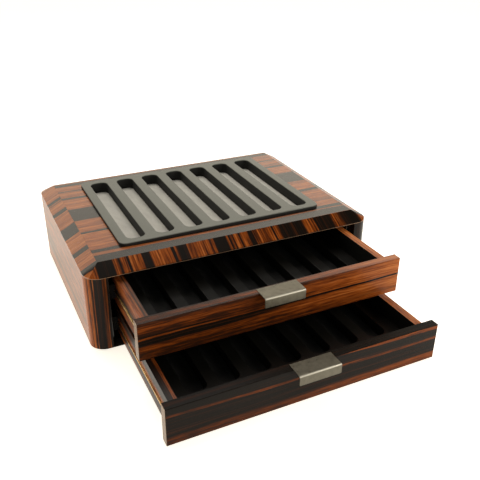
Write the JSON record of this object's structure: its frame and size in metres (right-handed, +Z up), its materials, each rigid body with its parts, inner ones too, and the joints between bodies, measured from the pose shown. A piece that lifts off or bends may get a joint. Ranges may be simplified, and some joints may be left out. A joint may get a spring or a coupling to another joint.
{
  "type": "pen collector chest",
  "caption": "Low veneered chest with rounded corners and a bevelled top, a slotted display tray for pens set into the top, and two slotted drawers with metal pulls.",
  "frame": {"origin": "on the surface that the chest stands on, under the middle of the case (the drawers stand out in front of it)", "axes": "+X to the right seen from the front, +Y to the back, +Z up; the drawers open along -Y"},
  "size_m": [0.364, 0.4575, 0.1071],
  "materials": {
    "top_veneer": "striped dark hardwood veneer, grain along X, clear satin lacquer",
    "bevel_veneer_front": "the same veneer, grain along Y over the front and back bevels",
    "bevel_veneer_side": "the same veneer, grain along X over the side bevels",
    "post_veneer": "the same veneer, grain upright",
    "wall_veneer": "the same veneer, grain along Y",
    "back_veneer": "the same veneer, grain along X",
    "stained_board": "thin board stained black",
    "base_felt": "black felt",
    "pin_steel": "plain steel pins",
    "stile_lacquer": "hardwood with glossy black lacquer",
    "tray_lacquer": "fibreboard with satin anthracite lacquer",
    "tray_suede": "light greige suede cloth",
    "upper_front_veneer": "the same veneer, orange-brown with black streaks along X",
    "lower_front_veneer": "the same veneer, nearly black with brown streaks along X",
    "drawer_side_veneer": "the same veneer, grain along Y",
    "drawer_back_veneer": "the same veneer, grain along X",
    "drawer_flock": "black flock",
    "insert_lacquer": "fibreboard with satin black lacquer",
    "runner_brass": "drawn brass, lightly polished",
    "pull_metal": "bent sheet with a gunmetal finish"
  },
  "bodies": {
    "case": {"top_panel": "top_veneer", "bevel_rail_front": "bevel_veneer_front", "bevel_rail_back": "bevel_veneer_front", "bevel_rail_left": "bevel_veneer_side", "bevel_rail_right": "bevel_veneer_side", "corner_post_front_left": "post_veneer", "corner_post_front_right": "post_veneer", "corner_post_back_left": "post_veneer", "corner_post_back_right": "post_veneer", "side_wall_left": "wall_veneer", "side_wall_right": "wall_veneer", "side_liner_left": "stained_board", "side_liner_right": "stained_board", "back_wall": "back_veneer", "base_board": "stained_board", "base_felt": "base_felt", "guide_upper_left": "stained_board", "guide_upper_right": "stained_board", "guide_lower_left": "stained_board", "guide_lower_right": "stained_board", "front_stile_left": "stile_lacquer", "front_stile_right": "stile_lacquer", "guide_pins_upper": "pin_steel", "guide_pins_lower": "pin_steel", "stop_rail_upper": "stained_board", "stop_rail_lower": "stained_board", "tray_plate": "tray_lacquer", "tray_lining": "tray_suede", "tray_floor": "stained_board"},
    "upper_drawer": {"upper_drawer_front": "upper_front_veneer", "upper_drawer_side_left": "drawer_side_veneer", "upper_drawer_side_right": "drawer_side_veneer", "upper_drawer_back": "drawer_back_veneer", "upper_drawer_bottom": "stained_board", "upper_drawer_lining": "drawer_flock", "upper_drawer_insert": "insert_lacquer", "upper_drawer_strip_left": "runner_brass", "upper_drawer_strip_right": "runner_brass", "upper_drawer_pull": "pull_metal", "upper_drawer_stop_block": "stained_board"},
    "lower_drawer": {"lower_drawer_front": "lower_front_veneer", "lower_drawer_side_left": "drawer_side_veneer", "lower_drawer_side_right": "drawer_side_veneer", "lower_drawer_back": "drawer_back_veneer", "lower_drawer_bottom": "stained_board", "lower_drawer_lining": "drawer_flock", "lower_drawer_insert": "insert_lacquer", "lower_drawer_strip_left": "runner_brass", "lower_drawer_strip_right": "runner_brass", "lower_drawer_pull": "pull_metal", "lower_drawer_stop_block": "stained_board"}
  },
  "joints": [
    {"name": "upper_drawer_slide", "type": "slide", "parent": "case", "child": "upper_drawer", "axis": [0, -1, 0], "range_m": [-0.0948, 0.0952]},
    {"name": "lower_drawer_slide", "type": "slide", "parent": "case", "child": "lower_drawer", "axis": [0, -1, 0], "range_m": [-0.1681, 0.0219]}
  ]
}
